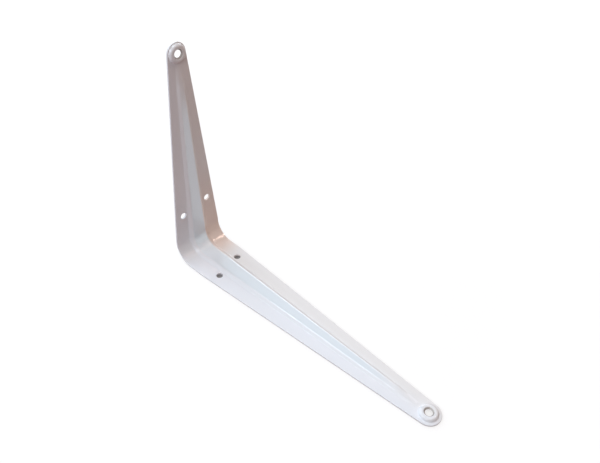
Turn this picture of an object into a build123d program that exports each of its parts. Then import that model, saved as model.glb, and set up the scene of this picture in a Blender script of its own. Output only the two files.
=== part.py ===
"""Pressed-steel shelf bracket: two tapering arms at a right angle, stiffened by one rib."""

import os
from dataclasses import dataclass
from math import asin, atan2, cos, degrees, hypot, sin, tan

from build123d import *

# Sizes are in millimetres. The long arm lies along X with its back on Z = 0, the short arm
# stands along Z with its back on X = 0, and Y runs across both from the bracket's middle.

# Sheet
sheet = 1.2
edge_radius = 0.3
bend_radius = 12.0

# Outline
long_arm = 200.0
short_arm = 150.0
corner_width = 36.0
long_shoulder = 9.0
short_shoulder = 2.0
shoulder_blend = 60.0
long_tip_radius = 7.4
short_tip_radius = 6.3

# Rib, raised on the inner side: at the bend, where it starts to run out, and at its two ends
rib_base = 15.4
rib_crest = 10.0
rib_height = 1.8
rib_crest_radius = 3.0
run_out = 13.0
run_out_base = 6.4
run_out_crest = 3.0
run_out_height = 1.1
run_out_crest_radius = 1.6
rib_end_base = 4.4
rib_end_crest = 1.6
rib_end_height = 0.2
rib_foot_radius = 1.5
rib_to_ring = 0.8

# Raised ring round the screw hole at each tip
ring_land = 0.6
ring_flank = 0.7
ring_height = 1.8
ring_crest_radius = 1.6
ring_foot_radius = 0.25

# Screw holes
screw_hole = 4.4
tip_countersink = 6.2
countersink_angle = 90.0
flange_hole_gauge = 20.2
long_near_hole = 28.7
short_near_hole = 33.8
long_hole_stagger = 4.8
short_hole_stagger = 4.4

# A face of the trimmed outline is told from the others by how far it looks along Y.
sideways = 0.9

bend_axis = bend_radius + sheet
flange_reach = corner_width / 2 + sheet

# One punch makes both rings, so the ring leaves its strip of flat sheet on the smaller tip.
ring_base = 2 * (min(long_tip_radius, short_tip_radius) - ring_land)
ring_crest = ring_base - 2 * ring_flank
ring_reach = ring_base / 2 + ring_foot_radius


@dataclass
class Arm:
    """One arm. Its run plane's z_dir points along the arm and its y_dir to the inner side."""

    run: Plane
    length: float
    shoulder: float
    tip_radius: float
    near_hole: float
    hole_stagger: float

    @property
    def face(self):
        """The back face as a drawing plane, with x along the arm and y across it."""
        return Plane(self.run.origin, x_dir=self.run.z_dir, z_dir=self.run.y_dir)

    @property
    def tip_centre(self):
        return self.length - self.tip_radius

    @property
    def rib_end(self):
        return self.tip_centre - ring_base / 2 - rib_to_ring - rib_end_base / 2


long_run = Plane((0, 0, 0), x_dir=(0, 1, 0), z_dir=(1, 0, 0))
short_run = Plane((0, 0, 0), x_dir=(0, -1, 0), z_dir=(0, 0, 1))
arms = [
    Arm(long_run, long_arm, long_shoulder, long_tip_radius, long_near_hole, long_hole_stagger),
    Arm(short_run, short_arm, short_shoulder, short_tip_radius, short_near_hole, short_hole_stagger),
]


def pressed_line(base, crest, low, high, crest_radius, foot_radius, reach):
    """Half of one face's line across a pressing: crest, slope and flat, from the middle out."""
    slope = atan2(high - low, (base - crest) / 2)
    crest_bend = crest_radius * tan(slope / 2)
    foot_bend = foot_radius * tan(slope / 2)
    crest_start = (crest / 2 - crest_bend, high)
    crest_end = (crest / 2 + crest_bend * cos(slope), high - crest_bend * sin(slope))
    foot_start = (base / 2 - foot_bend * cos(slope), low + foot_bend * sin(slope))
    foot_end = (base / 2 + foot_bend, low)
    Line((0, high), crest_start)
    TangentArc(crest_start, crest_end, tangent=(1, 0))
    Line(crest_end, foot_start)
    TangentArc(foot_start, foot_end, tangent=(cos(slope), -sin(slope)))
    Line(foot_end, (reach, low))


def pressed_sheet(base, crest, height, crest_radius, foot_radius, reach):
    """Both faces of half a pressing, one sheet thickness apart all along, and the outer end."""
    slope = atan2(height, (base - crest) / 2)
    back_shift = 2 * sheet * tan(slope / 2)
    pressed_line(base, crest, sheet, sheet + height, crest_radius, foot_radius, reach)
    pressed_line(
        base - back_shift,
        crest - back_shift,
        0,
        height,
        crest_radius - sheet,
        foot_radius + sheet,
        reach,
    )
    Line((reach, 0), (reach, sheet))


def ribbed_section(plane, *rib_size):
    """Sheet section across an arm: flange, rib, flange."""
    with BuildSketch(plane) as section:
        with BuildLine() as line:
            pressed_sheet(*rib_size, rib_foot_radius, flange_reach)
            mirror(about=Plane.YZ)
        make_face(line.edges())
    return section.sketch


def turned_section(plane, base, crest, height, crest_radius, foot_radius, reach):
    """Half section of a round pressing, closed along its middle, for turning."""
    with BuildSketch(plane) as section:
        with BuildLine() as line:
            pressed_sheet(base, crest, height, crest_radius, foot_radius, reach)
            Line((0, height), (0, sheet + height))
        make_face(line.edges())
    return section.sketch


def rib_at_bend(plane):
    return ribbed_section(plane, rib_base, rib_crest, rib_height, rib_crest_radius)


def outline(arm):
    """Plan of an arm: parallel through the bend, then straight sides that touch the round tip."""
    shoulder_end = bend_axis + arm.shoulder
    run = arm.tip_centre - shoulder_end
    half_width = corner_width / 2
    taper = degrees(atan2(half_width, run) - asin(arm.tip_radius / hypot(half_width, run)))
    with BuildSketch(arm.face) as plan:
        with BuildLine():
            tip = CenterArc((arm.tip_centre, 0), arm.tip_radius, taper - 90, 180 - 2 * taper)
            right = FilletPolyline(
                (0, -half_width), (shoulder_end, -half_width), tip @ 0, radius=shoulder_blend
            )
            left = FilletPolyline(
                (0, half_width), (shoulder_end, half_width), tip @ 1, radius=shoulder_blend
            )
            Line(right @ 0, left @ 0)
        make_face()
    return plan.sketch


with BuildPart() as shelf_bracket:
    # The bend is the ribbed section turned through a right angle.
    revolve(
        rib_at_bend(long_run.offset(bend_axis)),
        axis=Axis((bend_axis, 0, bend_axis), (0, 1, 0)),
        revolution_arc=90,
    )

    for arm in arms:
        run_out_plane = arm.run.offset(arm.rib_end - run_out)
        rib_end_plane = arm.run.offset(arm.rib_end)
        tip_plane = arm.run.offset(arm.tip_centre)
        run_out_size = (run_out_base, run_out_crest, run_out_height, run_out_crest_radius)
        rib_end_size = (rib_end_base, rib_end_crest, rib_end_height, run_out_crest_radius)
        ring_size = (ring_base, ring_crest, ring_height, ring_crest_radius, ring_foot_radius)

        # Along the arm the rib gets narrower and lower, then it runs out to a round end.
        loft(
            [
                rib_at_bend(arm.run.offset(bend_axis)),
                ribbed_section(run_out_plane, *run_out_size),
                ribbed_section(rib_end_plane, *rib_end_size),
            ],
            ruled=True,
        )
        revolve(
            turned_section(rib_end_plane, *rib_end_size, rib_foot_radius, arm.length - arm.rib_end),
            axis=Axis(rib_end_plane.origin, -arm.run.y_dir),
            revolution_arc=180,
        )

        # The ring at the tip takes the place of a disc of flat sheet.
        with BuildSketch(arm.face):
            with Locations((arm.tip_centre, 0)):
                Circle(ring_reach)
        extrude(amount=sheet, mode=Mode.SUBTRACT)
        revolve(
            turned_section(tip_plane, *ring_size, ring_reach),
            axis=Axis(tip_plane.origin, arm.run.y_dir),
        )

    # Each arm's outline is trimmed straight through the sheet, from the shoulder to the round tip.
    for arm in arms:
        extrude(outline(arm), amount=max(long_arm, short_arm), mode=Mode.INTERSECT)

    # Tumbling leaves the trimmed sheet's edges slightly round, all but those through its thickness.
    sides = shelf_bracket.faces().filter_by(lambda face: abs(face.normal_at().Y) > sideways)
    tips = [shelf_bracket.faces().sort_by(axis)[-1] for axis in (Axis.X, Axis.Z)]
    rims = ShapeList(sides + tips).edges()
    fillet(rims.filter_by(lambda edge: edge.length > sheet + edge_radius), edge_radius)

    # Screw holes: one through the ring, and a staggered pair beside the rib.
    for arm in arms:
        with Locations(arm.face.offset(sheet + ring_height)):
            with Locations((arm.tip_centre, 0)):
                CounterSinkHole(
                    screw_hole / 2,
                    tip_countersink / 2,
                    depth=sheet + ring_height,
                    counter_sink_angle=countersink_angle,
                )
        with Locations(arm.face.offset(sheet)):
            with Locations(
                (arm.near_hole, flange_hole_gauge / 2),
                (arm.near_hole + arm.hole_stagger, -flange_hole_gauge / 2),
            ):
                Hole(screw_hole / 2, depth=sheet)

shelf_bracket.part.label = "shelf_bracket"

os.makedirs("parts", exist_ok=True)
export_step(shelf_bracket.part, "parts/shelf_bracket.step")
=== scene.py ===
# %% [markdown]
# # A pressed-steel shelf bracket
# The bracket is one sheet of steel, cut out, pressed with a stiffening rib, folded to a right
# angle and painted white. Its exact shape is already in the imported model, which stands here as
# a fixed frame in metres. This lesson adds what the eye sees: the enamel, the board it lies on,
# the light and the camera.

# %% Load the bracket
import math

import bpy
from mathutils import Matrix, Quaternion, Vector


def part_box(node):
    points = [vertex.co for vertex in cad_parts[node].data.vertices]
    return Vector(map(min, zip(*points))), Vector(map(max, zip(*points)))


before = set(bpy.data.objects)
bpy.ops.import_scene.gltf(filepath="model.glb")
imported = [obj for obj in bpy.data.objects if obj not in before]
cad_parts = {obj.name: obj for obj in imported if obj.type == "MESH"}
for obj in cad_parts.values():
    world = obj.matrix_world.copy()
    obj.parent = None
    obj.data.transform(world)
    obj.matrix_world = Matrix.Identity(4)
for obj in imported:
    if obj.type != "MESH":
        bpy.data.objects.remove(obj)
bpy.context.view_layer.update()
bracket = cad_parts["shelf_bracket"]
low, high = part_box("shelf_bracket")
mm = 0.001
print("bracket:", [round(side / mm, 1) for side in high - low], "mm")

# %% [markdown]
# ## Colours
# Paint makers give colours as they look on a screen, in sRGB. A shader counts light itself, which
# is linear. One function turns the first into the second, so every colour below can be compared
# with a photograph by its hex code.


# %% From a hex code to linear light
def colour(code):
    channels = [int(code[i : i + 2], 16) / 255 for i in (1, 3, 5)]
    linear = [c / 12.92 if c <= 0.04045 else ((c + 0.055) / 1.055) ** 2.4 for c in channels]
    return (*linear, 1.0)


print("mid grey is", round(colour("#808080")[0], 3), "in linear light")

# %% [markdown]
# ## Nodes
# A material is a small graph. Each node is added by the same function: its kind, its settings,
# and for each input either a plain value or the output that feeds it.


# %% Add a node
def add(tree, kind, inputs, **settings):
    node = tree.nodes.new(kind)
    for name, value in settings.items():
        setattr(node, name, value)
    for socket, value in inputs.items():
        if isinstance(value, bpy.types.NodeSocket):
            tree.links.new(value, node.inputs[socket])
        else:
            node.inputs[socket].default_value = value
    return node


print("nodes are added by", add.__name__)

# %% [markdown]
# ## White stoved enamel
# Brackets like this are dipped after pressing and baked in an oven. The result is a hard gloss
# film over steel. Its white drifts a little at random, and in places below the colour is painted
# light
# and shade: tints and a sheen that stand in for how the light falls. An image could show that,
# but patterns in the object's own millimetres need no unwrapping and are right from every side.
# So the material starts from the place on the bracket: X along the lying arm, Z up the standing
# arm, and
# Y across both.

# %% Start the enamel
enamel = bpy.data.materials.new("white_stoved_enamel")
enamel.use_nodes = True
tree = enamel.node_tree
tree.nodes.clear()
spot = add(tree, "ShaderNodeTexCoord", {})
place = spot.outputs["Object"]
along = add(tree, "ShaderNodeSeparateXYZ", {"Vector": place})
print("material:", enamel.name)

# %% [markdown]
# ## Enamel with painted side light
# The side towards -Y is painted a cool white, which stands in for bluish light from that side,
# and the side towards +Y a plainer white, for warmer light there: painted light. Noise lets the
# shade drift a little from place to place, which is the enamel's own uneven tone.

# %% Painted side light and uneven tone
film_drift = 45 * mm
film = add(
    tree,
    "ShaderNodeTexNoise",
    {"Vector": place, "Scale": 1 / film_drift, "Detail": 3.0},
)
side_light_from, side_light_to = -8 * mm, 8 * mm
# This mask across Y paints light: the -Y side gets the cool white of bluish light, the +Y side
# the plainer white of warmer light.
warm_lit_side = add(
    tree,
    "ShaderNodeMapRange",
    {"Value": along.outputs["Y"], "From Min": side_light_from, "From Max": side_light_to},
    interpolation_type="SMOOTHSTEP",
)
drift_share = 0.4
drift_and_side_light = add(
    tree,
    "ShaderNodeMath",
    {0: film.outputs["Fac"], 1: drift_share, 2: warm_lit_side.outputs["Result"]},
    operation="MULTIPLY_ADD",
)
tone_and_side_light = add(
    tree,
    "ShaderNodeMapRange",
    {
        "Value": drift_and_side_light.outputs["Value"],
        "From Min": drift_share / 2,
        "From Max": 1 + drift_share / 2,
    },
)
# The mix below paints the side light into the enamel's colour, on top of its random drift.
film_with_side_light = add(
    tree,
    "ShaderNodeMix",
    {"Factor": tone_and_side_light.outputs["Result"], "A": colour("#EDF2F8"), "B": colour("#EDEDEC")},
    data_type="RGBA",
)
print("enamel drifts in shade over", round(film_drift / mm), "mm")

# %% [markdown]
# ## Painted warm light in the bend
# On the +Y side of the bend the white is painted a warmer peach, which stands in for warm light
# falling and reflected there: painted light. It fades out slowly up the standing arm and soon
# along the lying one, so two fades, one along each arm, are multiplied.

# %% Where the warm light is painted
warm_light_full = {"X": 8 * mm, "Z": 15 * mm}
warm_light_gone = {"X": 26 * mm, "Z": 75 * mm}
painted_warmth = warm_lit_side.outputs["Result"]
for arm in "XZ":
    near_bend = add(
        tree,
        "ShaderNodeMapRange",
        {
            "Value": along.outputs[arm],
            "From Min": warm_light_gone[arm],
            "From Max": warm_light_full[arm],
        },
        interpolation_type="SMOOTHSTEP",
    )
    both = add(
        tree,
        "ShaderNodeMath",
        {0: painted_warmth, 1: near_bend.outputs["Result"]},
        operation="MULTIPLY",
    )
    painted_warmth = both.outputs["Value"]
# The peach colour below is painted warm light, not the enamel's own colour.
film_with_warm_light = add(
    tree,
    "ShaderNodeMix",
    {"Factor": painted_warmth, "A": film_with_side_light.outputs["Result"], "B": colour("#F0DFD4")},
    data_type="RGBA",
)
print("gathered enamel fades out", round(warm_light_gone["Z"] / mm), "mm up the standing arm")

# %% [markdown]
# ## Painted light on the rib's crest
# The crest is painted a bluer white with a sheen of steel, which stands in for the bluish light
# it
# catches: painted light. The crest can't be found by its slope, because it is as flat as the
# flanges, so its width is worked out along each arm: widest in the bend and narrower with every
# millimetre towards a tip.

# %% How wide the crest is
crest_half_width = 4.9 * mm
crest_edge = 0.7 * mm
bend_end = 13.2 * mm
taper = {"X": 0.0222, "Z": 0.0316}
off_middle = add(tree, "ShaderNodeMath", {0: along.outputs["Y"]}, operation="ABSOLUTE")
off_crest = off_middle.outputs["Value"]
for arm in "XZ":
    past_bend = add(
        tree,
        "ShaderNodeMath",
        {0: along.outputs[arm], 1: bend_end},
        operation="SUBTRACT",
        use_clamp=True,
    )
    narrower = add(
        tree,
        "ShaderNodeMath",
        {0: past_bend.outputs["Value"], 1: taper[arm], 2: off_crest},
        operation="MULTIPLY_ADD",
    )
    off_crest = narrower.outputs["Value"]
strip = add(
    tree,
    "ShaderNodeMapRange",
    {
        "Value": off_crest,
        "From Min": crest_half_width + crest_edge,
        "From Max": crest_half_width - crest_edge,
    },
    interpolation_type="SMOOTHSTEP",
)
print("crest in the bend:", round(2 * crest_half_width / mm, 1), "mm wide")

# %% [markdown]
# ## Where the crest ends
# Only the inner side has a crest: the outer side has a groove there, and is left out by the way
# it faces. Along each arm the painted light on the crest fades out towards the tip, where the rib
# gets low.

# %% Where the crest is
inner_way = (1, 0, 1)
least_inward = 0.5
crest_full = {"X": 148 * mm, "Z": 98 * mm}
crest_gone = {"X": 178 * mm, "Z": 132 * mm}
inward = add(
    tree,
    "ShaderNodeVectorMath",
    {0: spot.outputs["Normal"], 1: inner_way},
    operation="DOT_PRODUCT",
)
inner_side = add(
    tree,
    "ShaderNodeMath",
    {0: inward.outputs["Value"], 1: least_inward},
    operation="GREATER_THAN",
)
inner_strip = add(
    tree,
    "ShaderNodeMath",
    {0: strip.outputs["Result"], 1: inner_side.outputs["Value"]},
    operation="MULTIPLY",
)
crest = inner_strip.outputs["Value"]
for arm in "XZ":
    high_rib = add(
        tree,
        "ShaderNodeMapRange",
        {
            "Value": along.outputs[arm],
            "From Min": crest_gone[arm],
            "From Max": crest_full[arm],
        },
        interpolation_type="SMOOTHSTEP",
    )
    shorter = add(
        tree,
        "ShaderNodeMath",
        {0: crest, 1: high_rib.outputs["Result"]},
        operation="MULTIPLY",
    )
    crest = shorter.outputs["Value"]
print("crest fades out", [round(crest_gone[arm] / mm) for arm in "XZ"], "mm from the corner")

# %% [markdown]
# ## Where the crest is painted lighter
# In the bend and at the start of the lying arm the crest is painted lighter and has no sheen,
# which stands in for more light than reaches it there: painted light. Before and beyond that it
# keeps the darker tint and the sheen. One fade serves each end, and their sum says how much sheen
# the crest has.

# %% How much sheen the crest has
lifted_from, lifted_to = 4.4 * mm, 38 * mm
lifted_full_from, lifted_full_to = 6 * mm, 10 * mm
sheened_above = add(
    tree,
    "ShaderNodeMapRange",
    {"Value": along.outputs["X"], "From Min": lifted_full_from, "From Max": lifted_from},
    interpolation_type="SMOOTHSTEP",
)
sheened_beyond = add(
    tree,
    "ShaderNodeMapRange",
    {"Value": along.outputs["X"], "From Min": lifted_full_to, "From Max": lifted_to},
    interpolation_type="SMOOTHSTEP",
)
sheened = add(
    tree,
    "ShaderNodeMath",
    {0: sheened_above.outputs["Result"], 1: sheened_beyond.outputs["Result"]},
    operation="ADD",
)
print("crest is dry again", round(lifted_to / mm), "mm along the lying arm")

# %% [markdown]
# ## Painted sheen on the crest
# Where the crest has its sheen, its cool white is a little darker, and about a quarter of its
# light
# comes back as from metal: a painted sheen and tint for the bluish light it catches. Where it is
# painted lighter, it has no sheen.

# %% What the crest looks like
# These two bluish whites are painted light: the lighter one near the bend, the darker one with
# the sheen elsewhere.
crest_painted_light = add(
    tree,
    "ShaderNodeMix",
    {"Factor": sheened.outputs["Value"], "A": colour("#ECF6FD"), "B": colour("#E0EAF1")},
    data_type="RGBA",
)
film_colour = add(
    tree,
    "ShaderNodeMix",
    {"Factor": crest, "A": film_with_warm_light.outputs["Result"], "B": crest_painted_light.outputs["Result"]},
    data_type="RGBA",
)
# The metal share below is a painted sheen on the crest, not bare steel.
sheen_share = 0.24
sheened_crest = add(
    tree,
    "ShaderNodeMath",
    {0: crest, 1: sheened.outputs["Value"]},
    operation="MULTIPLY",
)
painted_sheen = add(
    tree,
    "ShaderNodeMath",
    {0: sheened_crest.outputs["Value"], 1: sheen_share},
    operation="MULTIPLY",
)
print("steel gives", sheen_share, "of the dry crest's light")

# %% [markdown]
# ## Painted shade in the countersinks
# The countersunk holes at the tips are painted a darker grey, which stands in for the shade on
# their
# walls: painted shade. A ball round the middle of each hole takes in nearly the whole countersink
# and little else.

# %% Where the countersinks are
tip_holes = [(192.6 * mm, 0, 1.8 * mm), (1.8 * mm, 0, 143.7 * mm)]
sink_inside, sink_edge = 2.9 * mm, 3.3 * mm
for hole in tip_holes:
    to_hole = add(tree, "ShaderNodeVectorMath", {0: place, 1: hole}, operation="DISTANCE")
    in_sink = add(
        tree,
        "ShaderNodeMapRange",
        {
            "Value": to_hole.outputs["Value"],
            "From Min": sink_edge,
            "From Max": sink_inside,
        },
        interpolation_type="SMOOTHSTEP",
    )
    # The grey below is painted shade in the hole, not the enamel's colour.
    film_colour = add(
        tree,
        "ShaderNodeMix",
        {
            "Factor": in_sink.outputs["Result"],
            "A": film_colour.outputs["Result"],
            "B": colour("#B4AEAA"),
        },
        data_type="RGBA",
    )
print(len(tip_holes), "countersinks, grey within", round(sink_inside / mm, 1), "mm")

# %% [markdown]
# ## Gloss
# A stoved film is nearly as smooth as glass, so its roughness is low. It varies a little with the
# film, and the flat of the crest is a little duller, because a thin film follows the grain of the
# rolled steel.

# %% How sharp the reflections are
gloss_best, gloss_worst = 0.06, 0.1
flat_inset = 3 * crest_edge
gloss = add(
    tree,
    "ShaderNodeMapRange",
    {"Value": film.outputs["Fac"], "To Min": gloss_best, "To Max": gloss_worst},
)
crest_flat = add(
    tree,
    "ShaderNodeMapRange",
    {
        "Value": off_crest,
        "From Min": crest_half_width - crest_edge,
        "From Max": crest_half_width - flat_inset,
    },
    interpolation_type="SMOOTHSTEP",
)
grain_dulling = 0.14
roughness = add(
    tree,
    "ShaderNodeMath",
    {0: crest_flat.outputs["Result"], 1: grain_dulling, 2: gloss.outputs["Result"]},
    operation="MULTIPLY_ADD",
)
print("roughness from", gloss_best, "to", round(gloss_worst + grain_dulling, 2))

# %% [markdown]
# ## Orange peel
# The gloss shows a slight ripple all over, where the wet paint began to flow. It is a few
# thousandths of a millimetre deep, far too shallow to model, so it is bump: that turns the
# surface's light, not its outline.

# %% The ripple
peel_width = 2.5 * mm
peel_depth = 0.005 * mm
peel = add(
    tree,
    "ShaderNodeTexNoise",
    {"Vector": place, "Scale": 1 / peel_width, "Detail": 2.0},
)
ripple = add(
    tree,
    "ShaderNodeBump",
    {"Height": peel.outputs["Fac"], "Distance": peel_depth},
)
print("orange peel:", peel_width / mm, "mm wide")

# %% [markdown]
# ## The creased bend
# Folding squeezes the rib, and its crest creases a little in the middle of the bend. The cells of
# a Voronoi pattern look like such creases. They too are bump, kept to the crest and to the bend.

# %% The creases
crease_width = 2.6 * mm
crease_depth = 0.16 * mm
squeezed_from, squeezed_full = 12 * mm, 8 * mm
from_corner = add(
    tree,
    "ShaderNodeMath",
    {0: along.outputs["X"], 1: along.outputs["Z"]},
    operation="MAXIMUM",
)
squeezed = add(
    tree,
    "ShaderNodeMapRange",
    {
        "Value": from_corner.outputs["Value"],
        "From Min": squeezed_from,
        "From Max": squeezed_full,
    },
    interpolation_type="SMOOTHSTEP",
)
squeezed_crest = add(
    tree,
    "ShaderNodeMath",
    {0: squeezed.outputs["Result"], 1: crest},
    operation="MULTIPLY",
)
folds = add(
    tree,
    "ShaderNodeTexVoronoi",
    {"Vector": place, "Scale": 1 / crease_width},
)
creases = add(
    tree,
    "ShaderNodeMath",
    {0: folds.outputs["Distance"], 1: squeezed_crest.outputs["Value"]},
    operation="MULTIPLY",
)
creased = add(
    tree,
    "ShaderNodeBump",
    {
        "Height": creases.outputs["Value"],
        "Distance": crease_depth,
        "Normal": ripple.outputs["Normal"],
    },
)
print("creases:", round(crease_width / mm, 1), "mm wide")

# %% [markdown]
# ## Paint the bracket
# All of it meets in one shader. Its index of refraction is that of a hard resin, which sets how
# much the clear top of the film mirrors.

# %% Put the enamel on
resin_ior = 1.52
paint = add(
    tree,
    "ShaderNodeBsdfPrincipled",
    {
        "Base Color": film_colour.outputs["Result"],
        "Metallic": painted_sheen.outputs["Value"],
        "Roughness": roughness.outputs["Value"],
        "Normal": creased.outputs["Normal"],
        "IOR": resin_ior,
    },
)
add(tree, "ShaderNodeOutputMaterial", {"Surface": paint.outputs["BSDF"]})
bracket.data.materials.clear()
bracket.data.materials.append(enamel)
print(bracket.name, "is painted with", enamel.name)

# %% [markdown]
# ## What is seen, and what only lights
# The bracket lies on a pale board. To the camera the board is white, and to the bracket it is
# the warm grey that a real table sends back up. The light path node tells the two apart: it knows
# the rays from the camera, and those that a mirroring or clear surface sends on.


# %% Rays that see
def seen_rays(tree):
    path = add(tree, "ShaderNodeLightPath", {})
    mirrored = add(
        tree,
        "ShaderNodeMath",
        {0: path.outputs["Is Glossy Ray"], 1: path.outputs["Is Transmission Ray"]},
        operation="MAXIMUM",
    )
    seen = add(
        tree,
        "ShaderNodeMath",
        {0: path.outputs["Is Camera Ray"], 1: mirrored.outputs["Value"]},
        operation="MAXIMUM",
    )
    return seen.outputs["Value"]


print("seen rays are found by", seen_rays.__name__)

# %% [markdown]
# ## The board's own light
# What is seen gets some light of its own, and the shadow stays in the rest. Away from the lamps
# the own light rises to full white, so the board has no visible end. Under the sheet beside the
# bend it falls to nothing, because no light gets in there except through the two screw holes,
# which look dark.

# %% How much the board glows
board = bpy.data.materials.new("pale_board")
board.use_nodes = True
tree = board.node_tree
tree.nodes.clear()
middle = add(tree, "ShaderNodeTexCoord", {})
near_light = 0.75
near_radius, white_radius = 0.18, 0.6
away = add(tree, "ShaderNodeVectorMath", {0: middle.outputs["Object"]}, operation="LENGTH")
own_light = add(
    tree,
    "ShaderNodeMapRange",
    {
        "Value": away.outputs["Value"],
        "From Min": near_radius,
        "From Max": white_radius,
        "To Min": near_light,
    },
    interpolation_type="SMOOTHSTEP",
)
covered_middle = (31 * mm, 0, 0)
covered_radius, covered_edge = 14 * mm, 16 * mm
under = add(
    tree,
    "ShaderNodeVectorMath",
    {0: middle.outputs["Object"], 1: covered_middle},
    operation="DISTANCE",
)
uncovered = add(
    tree,
    "ShaderNodeMapRange",
    {
        "Value": under.outputs["Value"],
        "From Min": covered_radius,
        "From Max": covered_edge,
    },
    interpolation_type="SMOOTHSTEP",
)
open_light = add(
    tree,
    "ShaderNodeMath",
    {0: own_light.outputs["Result"], 1: uncovered.outputs["Result"]},
    operation="MULTIPLY",
)
print("board is white from", white_radius, "m outwards")

# %% [markdown]
# ## Lay the board
# The board is a large plane just under the bracket, so close that the gap can't be seen. It is
# part of the studio and not of the bracket.

# %% The board
board_size = 6.0
board_gap = 0.3 * mm
warm = add(tree, "ShaderNodeBsdfDiffuse", {"Color": colour("#A0827E")})
matt = add(tree, "ShaderNodeBsdfDiffuse", {"Color": colour("#909090")})
glow = add(
    tree,
    "ShaderNodeEmission",
    {"Color": colour("#FFFFFF"), "Strength": open_light.outputs["Value"]},
)
white = add(tree, "ShaderNodeAddShader", {0: matt.outputs["BSDF"], 1: glow.outputs["Emission"]})
either = add(
    tree,
    "ShaderNodeMixShader",
    {0: seen_rays(tree), 1: warm.outputs["BSDF"], 2: white.outputs["Shader"]},
)
add(tree, "ShaderNodeOutputMaterial", {"Surface": either.outputs["Shader"]})
bpy.ops.mesh.primitive_plane_add(size=board_size, location=(0, 0, low.z - board_gap))
floor = bpy.context.object
floor.name = "floor"
floor.data.materials.append(board)
print("board at", round(floor.location.z / mm, 2), "mm")

# %% [markdown]
# ## Light
# The bracket stands in a small light tent that is open in front. White cloth above, at both sides
# and behind lights it softly, so the lying arm is bright and the standing arm, which faces the
# opening, is in soft shade. Cloth is easiest as area lamps. Their brightness is given as what a
# mirror would show, so a larger lamp gives more light at the same brightness. A narrow warm lamp
# in front draws the thin bright line across the bend.


# %% Lamps
def lamp(name, place, aim, size, brightness, tone):
    data = bpy.data.lights.new(name, "AREA")
    data.shape = "RECTANGLE"
    data.size, data.size_y = size
    data.energy = brightness * math.pi * size[0] * size[1]
    data.color = colour(tone)[:3]
    obj = bpy.data.objects.new(name, data)
    obj.location = place
    obj.rotation_euler = Vector(aim).to_track_quat("-Z", "Y").to_euler()
    bpy.context.scene.collection.objects.link(obj)
    print(name, round(data.energy, 2), "W")


down = (0, 0, -1)
to_left, to_right, to_front = (0, -1, 0), (0, 1, 0), (1, 0, 0)
down_to_left = (0, -0.58, -1.0)

# Each line: name, place in metres, the way it aims, size in metres, brightness, tone.
lamp("tent_roof_back", (-0.45, -0.02, 1.2), down, (0.9, 0.25), 6.0, "#E2F2FF")
lamp("tent_roof_middle", (0.35, 0.0, 1.2), down, (0.3, 1.6), 1.4, "#FFEDE2")
lamp("tent_roof_front", (0.45, -0.5, 1.2), down, (0.9, 0.8), 0.85, "#F2F8FF")
lamp("tent_right", (-0.4, 1.0, 0.7), to_left, (1.0, 0.8), 2.0, "#F0F4FF")
lamp("tent_left", (-0.2, -1.0, 0.8), to_right, (1.8, 0.6), 3.3, "#F2F8FF")
lamp("tent_back", (-1.1, 0.0, 0.75), to_front, (1.6, 0.7), 2.65, "#DEF1FF")
lamp("front_strip", (0.51, 0.58, 1.0), down_to_left, (0.82, 0.03), 18.0, "#FFDDCC")

# %% [markdown]
# ## Room
# What isn't tent is the room outside: white where the camera or a reflection looks, and a faint
# warm dusk as far as it lights the bracket.

# %% The room around the tent
backdrop_light, room_light = 1.0, 0.135
world = bpy.data.worlds.new("studio")
bpy.context.scene.world = world
world.use_nodes = True
tree = world.node_tree
tree.nodes.clear()
backdrop = add(
    tree,
    "ShaderNodeBackground",
    {"Color": colour("#FFFFFF"), "Strength": backdrop_light},
)
room = add(
    tree,
    "ShaderNodeBackground",
    {"Color": colour("#FFDCCA"), "Strength": room_light},
)
sky = add(
    tree,
    "ShaderNodeMixShader",
    {0: seen_rays(tree), 1: room.outputs["Background"], 2: backdrop.outputs["Background"]},
)
add(tree, "ShaderNodeOutputWorld", {"Surface": sky.outputs["Shader"]})
print("room lights at", room_light)

# %% [markdown]
# ## Camera
# The view is from in front of the right angle and above it, close enough for the near tip to
# look larger than the far one.

# %% Place the camera
eye = Vector((259.07 * mm, -182.71 * mm, 292.90 * mm))
aim = Vector((40.91 * mm, 60.19 * mm, 0.0))
roll_angle = math.radians(1.6595)
roll = Quaternion((0, 0, 1), roll_angle)
level = (aim - eye).to_track_quat("-Z", "Y")
camera_data = bpy.data.cameras.new("camera")
camera_data.sensor_width = 36.0
camera_data.lens = 36.365
camera = bpy.data.objects.new("camera", camera_data)
camera.location = eye
camera.rotation_euler = (level @ roll).to_euler()
bpy.context.scene.collection.objects.link(camera)
bpy.context.scene.camera = camera
bpy.context.scene.view_settings.view_transform = "Standard"
print("camera is", round((aim - eye).length, 3), "m from its aim")
